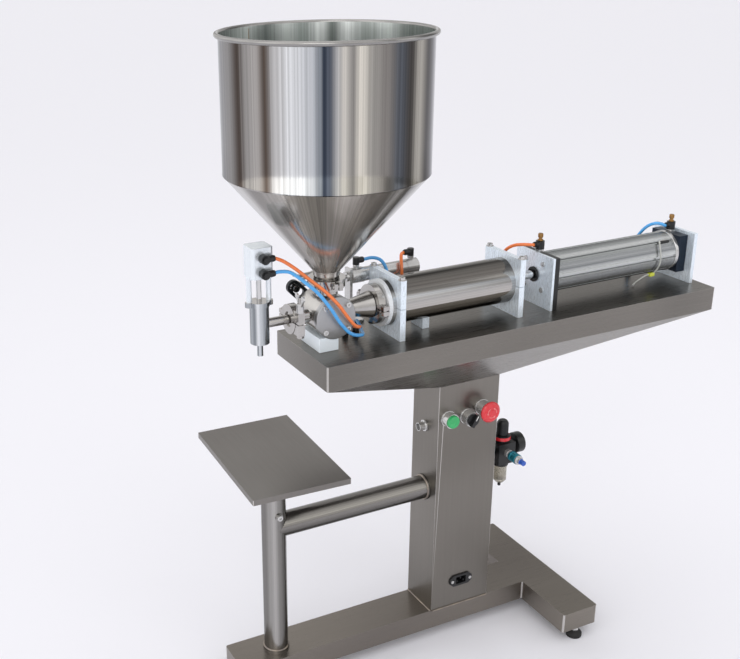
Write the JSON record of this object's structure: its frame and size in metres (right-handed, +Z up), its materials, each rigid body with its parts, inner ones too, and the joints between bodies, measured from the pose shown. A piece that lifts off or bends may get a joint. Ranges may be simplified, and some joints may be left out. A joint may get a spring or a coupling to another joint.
{
  "type": "cream filling machine",
  "caption": "Bench-height pneumatic piston filler: cone hopper over a rotary valve, metering cylinder, air cylinder, nozzle and bottle platform on a column stand.",
  "frame": {"origin": "middle of the machine's box, on the floor under its feet", "axes": "+Z up; +X along the machine, from the nozzle and hopper towards the air cylinder; the column's buttons face -Y"},
  "size_m": [0.9898, 0.347, 1.167],
  "materials": {
    "steel": "polished stainless",
    "satin_steel": "satin stainless",
    "aluminium": "satin anodised",
    "rod": "hard chrome",
    "black_plastic": "satin black",
    "dark_metal": "dark anodised",
    "ptfe": "white PTFE",
    "brass": "turned",
    "orange_tube": "polyurethane tube",
    "blue_tube": "polyurethane tube",
    "green_plastic": "glossy",
    "red_plastic": "glossy",
    "bowl_plastic": "translucent",
    "teal": "anodised",
    "yellow_plastic": "translucent",
    "rubber": "moulded"
  },
  "bodies": {
    "machine": {"base_frame": "steel", "column": "steel", "column_back_cover": "steel", "table_tray": "steel", "table_underside": "steel", "platform_post": "steel", "post_brace": "steel", "valve_block": "aluminium", "valve_body": "steel", "valve_cover": "steel", "drive_cylinder": "steel", "hopper": "steel", "hopper_cone": "steel", "tri_clamps": "steel", "nozzle_body": "steel", "nozzle_cylinder": "aluminium", "metering_cylinder": "steel", "cylinder_head": "steel", "lower_clamp_plates": "aluminium", "upper_clamp_plates": "aluminium", "cylinder_saddle": "aluminium", "air_front_plate": "aluminium", "air_front_cap": "dark_metal", "air_barrel": "aluminium", "air_rear_ring": "aluminium", "air_rear_cap": "dark_metal", "air_rear_plate": "aluminium", "reed_switch": "yellow_plastic", "push_in_fittings": "black_plastic", "orange_air_tubes": "orange_tube", "blue_air_tubes": "blue_tube", "button_holders": "satin_steel", "pedal_socket": "satin_steel", "power_inlet": "black_plastic", "regulator_body": "dark_metal", "regulator_bowl": "bowl_plastic", "pressure_gauge": "black_plastic", "air_coupler": "satin_steel", "valve_manifold": "aluminium", "machine_screws": "steel"},
    "metering_piston_and_rod": {"metering_piston": "ptfe", "piston_rod": "rod", "air_piston": "aluminium"},
    "rotor": {"valve_rotor": "steel", "crank_arm": "dark_metal"},
    "drive_rod": {"drive_rod": "rod"},
    "nozzle_stem": {"nozzle_stem": "rod"},
    "start_button": {"green_button": "green_plastic"},
    "selector": {"selector_knob": "black_plastic"},
    "stop_button": {"stop_button": "red_plastic"},
    "regulator_knob": {"regulator_knob": "black_plastic"},
    "gauge_needle": {"gauge_needle": "red_plastic"},
    "coupler_sleeve": {"coupler_sleeve": "teal"},
    "platform": {"platform": "satin_steel"},
    "levelling_feet": {"levelling_feet": "rubber"},
    "front_needle": {"speed_needle_front": "brass"},
    "rear_needle": {"speed_needle_rear": "brass"},
    "hopper_wing_nut": {"hopper_wing_nut": "steel"},
    "nozzle_wing_nut": {"nozzle_wing_nut": "steel"},
    "cylinder_wing_nut": {"cylinder_wing_nut": "steel"}
  },
  "joints": [
    {"name": "piston_stroke", "type": "slide", "parent": "machine", "child": "metering_piston_and_rod", "axis": [1, 0, 0], "range_m": [0, 0.2]},
    {"name": "valve_turn", "type": "hinge", "parent": "machine", "child": "rotor", "pos_m": [-0.296, 0, 0.706], "axis": [0, 1, 0], "range_deg": [0, 90]},
    {"name": "drive_stroke", "type": "slide", "parent": "machine", "child": "drive_rod", "axis": [1, 0, 0], "range_m": [0, 0.06]},
    {"name": "stem_lift", "type": "slide", "parent": "machine", "child": "nozzle_stem", "axis": [0, 0, 1], "range_m": [0, 0.012]},
    {"name": "start_press", "type": "slide", "parent": "machine", "child": "start_button", "axis": [0, 1, 0], "range_m": [0, 0.004], "stiffness_N_per_m": 400, "springref_m": -0.002},
    {"name": "selector_turn", "type": "hinge", "parent": "machine", "child": "selector", "pos_m": [-0.03, -0.042, 0.472], "axis": [0, 1, 0], "range_deg": [-75, 0]},
    {"name": "stop_press", "type": "slide", "parent": "machine", "child": "stop_button", "axis": [0, 1, 0], "range_m": [0, 0.0035]},
    {"name": "regulator_turn", "type": "hinge", "parent": "machine", "child": "regulator_knob", "pos_m": [0.079, -0.01, 0.39], "axis": [0, 0, 1], "range_deg": [-720, 720]},
    {"name": "gauge_reading", "type": "hinge", "parent": "machine", "child": "gauge_needle", "pos_m": [0.1175, -0.01, 0.37], "axis": [1, 0, 0], "range_deg": [0, 270], "stiffness_Nm_per_rad": 0.0001, "springref_deg": -11.46},
    {"name": "sleeve_pull", "type": "slide", "parent": "machine", "child": "coupler_sleeve", "axis": [0, 1, 0], "range_m": [0, 0.004], "stiffness_N_per_m": 500, "springref_m": -0.002},
    {"name": "platform_height", "type": "slide", "parent": "machine", "child": "platform", "axis": [0, 0, 1], "range_m": [0, 0.1]},
    {"name": "feet_screw", "type": "slide", "parent": "machine", "child": "levelling_feet", "axis": [0, 0, 1], "range_m": [-0.015, 0]},
    {"name": "front_speed_turn", "type": "hinge", "parent": "machine", "child": "front_needle", "pos_m": [0.145, 0, 0.77], "axis": [0, 0, 1], "range_deg": [-720, 720]},
    {"name": "rear_speed_turn", "type": "hinge", "parent": "machine", "child": "rear_needle", "pos_m": [0.4605, 0, 0.764], "axis": [0, 0, 1], "range_deg": [-720, 720]},
    {"name": "hopper_nut_turn", "type": "hinge", "parent": "machine", "child": "hopper_wing_nut", "pos_m": [-0.315, 0.038, 0.762], "axis": [1, 0, 0], "continuous": true},
    {"name": "nozzle_nut_turn", "type": "hinge", "parent": "machine", "child": "nozzle_wing_nut", "pos_m": [-0.361, -0.0315, 0.735], "axis": [0, 0, 1], "continuous": true},
    {"name": "cylinder_nut_turn", "type": "hinge", "parent": "machine", "child": "cylinder_wing_nut", "pos_m": [-0.206, 0.041, 0.69], "axis": [0, 0, 1], "continuous": true}
  ],
  "couplings": [
    {"joint": "drive_stroke", "follows": "valve_turn", "m_per_rad": 0.0382}
  ]
}
